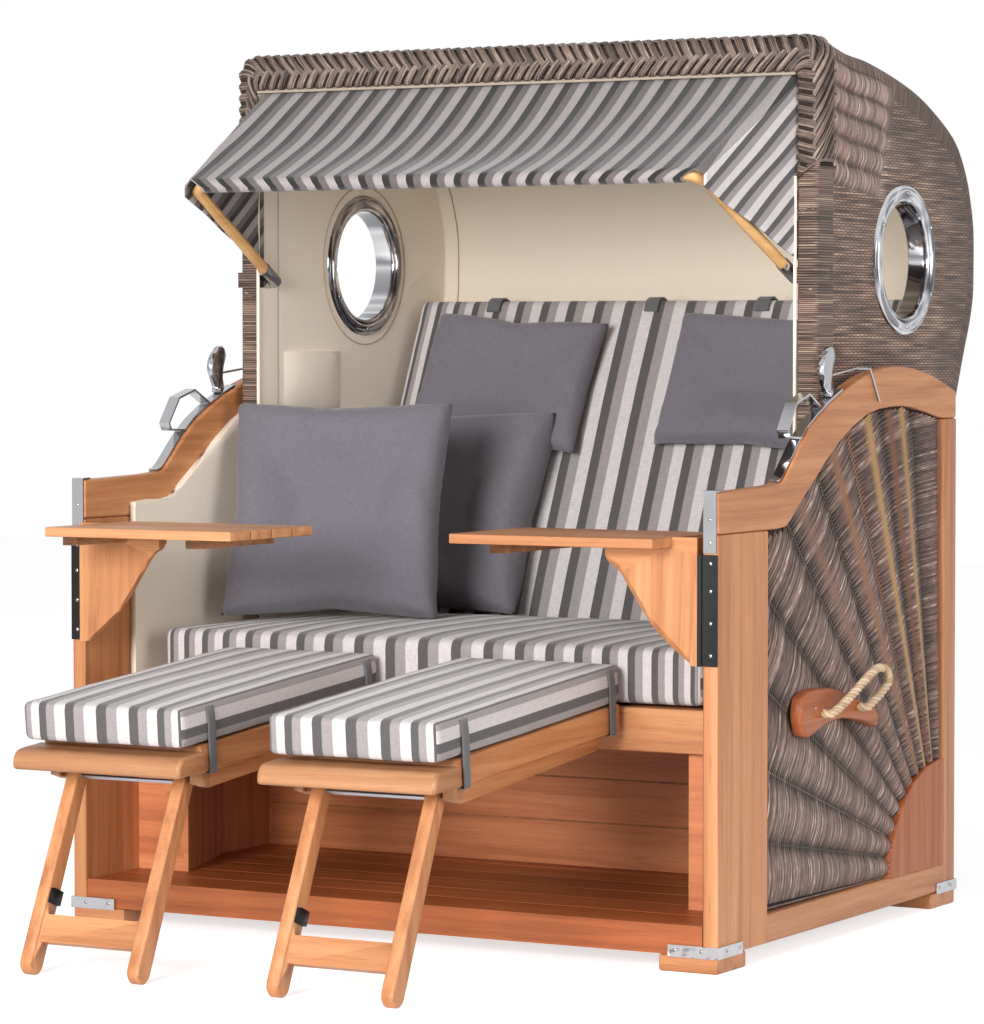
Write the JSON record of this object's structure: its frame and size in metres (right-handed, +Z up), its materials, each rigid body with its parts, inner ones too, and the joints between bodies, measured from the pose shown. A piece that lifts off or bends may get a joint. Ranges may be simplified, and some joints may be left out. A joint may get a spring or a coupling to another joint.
{
  "type": "hooded beach chair",
  "caption": "Two-seat hooded beach chair: fluted wicker sides on a wooden base, tilting wicker hood with window rings, awning, swing tables and folding footrests.",
  "frame": {"origin": "centre of the whole chair's bounding box, on the floor", "axes": "+X to the right of the picture (the sitter's left), +Y towards the back of the hood, +Z up"},
  "size_m": [1.4586, 1.889, 1.66],
  "materials": {
    "wood": "oiled",
    "dark_wood": "oiled",
    "wicker": "woven synthetic cane",
    "rear_wicker": "woven synthetic cane",
    "steel": "polished",
    "black_steel": "black",
    "cream": "woven lining",
    "stripe": "striped cloth",
    "grey_cloth": "plain weave",
    "rope": "laid fibre rope"
  },
  "bodies": {
    "base": {"side_frame_left": "wood", "side_frame_right": "wood", "arm_left": "wood", "arm_right": "wood", "corner_board_left": "wood", "corner_board_right": "wood", "side_wicker_left": "wicker", "side_wicker_right": "wicker", "side_lining_left": "cream", "side_lining_right": "cream", "floor_boards": "wood", "cavity_walls": "dark_wood", "seat_rail": "wood", "seat_deck": "dark_wood", "rear_panel": "rear_wicker", "foot_front_left": "wood", "foot_front_right": "wood", "foot_rear_left": "wood", "foot_rear_right": "wood", "handle_board_left": "wood", "handle_board_right": "wood", "rope_loop_left": "rope", "rope_loop_right": "rope", "arm_strap_left": "steel", "arm_strap_right": "steel", "arm_fitting_left": "steel", "arm_fitting_right": "steel", "post_hinge_left": "black_steel", "post_hinge_right": "black_steel", "hood_pivot_left": "steel", "hood_pivot_right": "steel", "seat_cushion": "stripe", "throw_cushion_front": "grey_cloth", "throw_cushion_back": "grey_cloth"},
    "hood": {"hood_shell": "wicker", "hood_lining": "cream", "hood_rim": "wicker", "porthole_left": "steel", "porthole_right": "steel", "backrest_board": "dark_wood", "back_cushion": "stripe", "head_cushion_left": "grey_cloth", "head_cushion_right": "grey_cloth", "awning_clamp_left": "steel", "awning_clamp_right": "steel"},
    "awning": {"awning_bow": "wood", "awning_fabric": "stripe"},
    "table_left": {"table_top_left": "wood", "table_bracket_left": "wood"},
    "table_right": {"table_top_right": "wood", "table_bracket_right": "wood"},
    "footrest_left": {"footrest_frame_left": "wood", "footrest_cushion_left": "stripe"},
    "footrest_right": {"footrest_frame_right": "wood", "footrest_cushion_right": "stripe"},
    "legs_left": {"footrest_legs_left": "wood"},
    "legs_right": {"footrest_legs_right": "wood"},
    "latch_left": {"latch_left": "steel"},
    "latch_right": {"latch_right": "steel"}
  },
  "joints": [
    {"name": "hood_tilt", "type": "hinge", "parent": "base", "child": "hood", "pos_m": [0, 0.45009, 0.5], "axis": [-1, 0, 0], "range_deg": [0, 45]},
    {"name": "awning_raise", "type": "hinge", "parent": "hood", "child": "awning", "pos_m": [0, 0.19009, 1.222], "axis": [-1, 0, 0], "range_deg": [0, 50], "deforming": ["awning_fabric"]},
    {"name": "table_left_swing", "type": "hinge", "parent": "base", "child": "table_left", "pos_m": [-0.6465, -0.35471, 0.634], "axis": [0, 0, -1], "range_deg": [0, 90]},
    {"name": "table_right_swing", "type": "hinge", "parent": "base", "child": "table_right", "pos_m": [0.6465, -0.35471, 0.634], "axis": [0, 0, 1], "range_deg": [0, 180]},
    {"name": "footrest_left_lower", "type": "hinge", "parent": "base", "child": "footrest_left", "pos_m": [-0.253, -0.20571, 0.403], "axis": [1, 0, 0], "range_deg": [0, 28]},
    {"name": "legs_left_fold", "type": "hinge", "parent": "footrest_left", "child": "legs_left", "pos_m": [-0.253, -0.78403, 0.33438], "axis": [1, 0, 0], "range_deg": [0, 114]},
    {"name": "footrest_right_lower", "type": "hinge", "parent": "base", "child": "footrest_right", "pos_m": [0.253, -0.20571, 0.403], "axis": [1, 0, 0], "range_deg": [0, 28]},
    {"name": "legs_right_fold", "type": "hinge", "parent": "footrest_right", "child": "legs_right", "pos_m": [0.253, -0.78403, 0.33438], "axis": [1, 0, 0], "range_deg": [0, 114]},
    {"name": "latch_left_open", "type": "hinge", "parent": "base", "child": "latch_left", "pos_m": [-0.665, 0.13119, 1.0039], "axis": [1, 0, 0], "range_deg": [0, 45]},
    {"name": "latch_right_open", "type": "hinge", "parent": "base", "child": "latch_right", "pos_m": [0.665, 0.13119, 1.0039], "axis": [1, 0, 0], "range_deg": [0, 45]}
  ]
}
